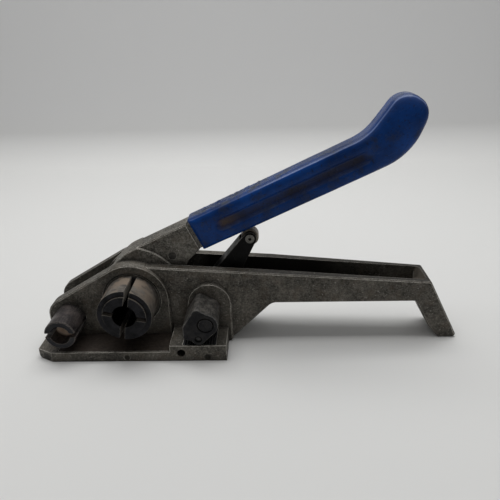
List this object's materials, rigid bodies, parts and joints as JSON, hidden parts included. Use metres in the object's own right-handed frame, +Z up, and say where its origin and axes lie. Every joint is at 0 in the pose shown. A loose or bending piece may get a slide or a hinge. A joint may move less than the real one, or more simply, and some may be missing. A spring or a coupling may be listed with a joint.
{
  "type": "strapping tensioner",
  "caption": "Hand strapping tensioner: slotted windlass turned by a ratchet handle, serrated gripper cam with release lever, open strap ledge and tail foot.",
  "frame": {"origin": "on the sole, straight below the windlass axis and midway between the two side walls", "axes": "+X towards the tail foot and the handle's end, -Y towards the open strap ledge, +Z up"},
  "size_m": [0.3335, 0.0738, 0.191],
  "materials": {
    "cast_frame": "worn grey-brown cast steel, matt and stained",
    "cast_handle": "worn grey cast steel, matt",
    "wear_steel": "smooth, polished by the strap and stained brown",
    "tool_steel": "dark hardened steel with cut teeth",
    "plug_steel": "dull, flush with the casting",
    "worn_steel": "oiled steel worn smooth",
    "drum_steel": "turned steel, rubbed brown by strap",
    "dark_steel": "oiled hardened steel",
    "pin_steel": "dull ground steel",
    "black_spring": "blackened spring steel",
    "cam_steel": "bluish grey hardened steel",
    "black_sheet": "black oxide on folded sheet, edges rubbed bright",
    "roller_steel": "turned steel with a light worn rim",
    "rivet_steel": "bare rivet steel",
    "blue_vinyl": "glossy deep blue vinyl, scuffed and soiled"
  },
  "bodies": {
    "frame": {"frame_base": "cast_frame", "near_wall": "cast_frame", "far_wall": "cast_frame", "tail_rails": "cast_frame", "tail_foot": "cast_frame", "wear_plate": "wear_steel", "gripper_plate": "tool_steel", "base_plugs": "plug_steel", "guide_tube": "worn_steel", "holding_pawl_pin": "pin_steel"},
    "windlass": {"windlass_drum": "drum_steel", "ratchet_wheel": "dark_steel", "ratchet_key": "dark_steel", "windlass_ring": "black_spring"},
    "handle": {"handle_yoke": "cast_handle", "handle_grip": "blue_vinyl", "drive_pawl_pin": "pin_steel"},
    "drive_pawl": {"drive_pawl": "dark_steel", "drive_pawl_spring": "black_spring"},
    "holding_pawl": {"holding_pawl": "dark_steel", "holding_pawl_spring": "black_spring"},
    "gripper": {"gripper_cam": "cam_steel", "cam_pin": "black_spring", "gripper_shaft": "cam_steel", "gripper_lever": "black_sheet", "lever_roll_pin": "black_spring", "roller_axle": "rivet_steel", "gripper_spring": "black_spring"},
    "roller": {"lever_roller": "roller_steel"}
  },
  "joints": [
    {"name": "handle_swing", "type": "hinge", "parent": "frame", "child": "handle", "pos_m": [0, 0, 0.0405], "axis": [0, -1, 0], "range_deg": [0, 105]},
    {"name": "windlass_spin", "type": "hinge", "parent": "frame", "child": "windlass", "pos_m": [0, 0, 0.0405], "axis": [0, 1, 0], "continuous": true},
    {"name": "drive_pawl_lift", "type": "hinge", "parent": "handle", "child": "drive_pawl", "pos_m": [0.033, 0, 0.0722], "axis": [0, -1, 0], "range_deg": [0, 8], "stiffness_Nm_per_rad": 0.3, "springref_deg": -20.05},
    {"name": "holding_pawl_lift", "type": "hinge", "parent": "frame", "child": "holding_pawl", "pos_m": [0.0375, 0, 0.02], "axis": [0, -1, 0], "range_deg": [0, 7], "stiffness_Nm_per_rad": 0.3, "springref_deg": -20.05},
    {"name": "gripper_swing", "type": "hinge", "parent": "frame", "child": "gripper", "pos_m": [0.0604, 0, 0.0319], "axis": [0, 1, 0], "range_deg": [0, 20], "stiffness_Nm_per_rad": 2, "springref_deg": -22.92},
    {"name": "roller_spin", "type": "hinge", "parent": "gripper", "child": "roller", "pos_m": [0.09445, 0, 0.08498], "axis": [0, 1, 0], "continuous": true}
  ]
}
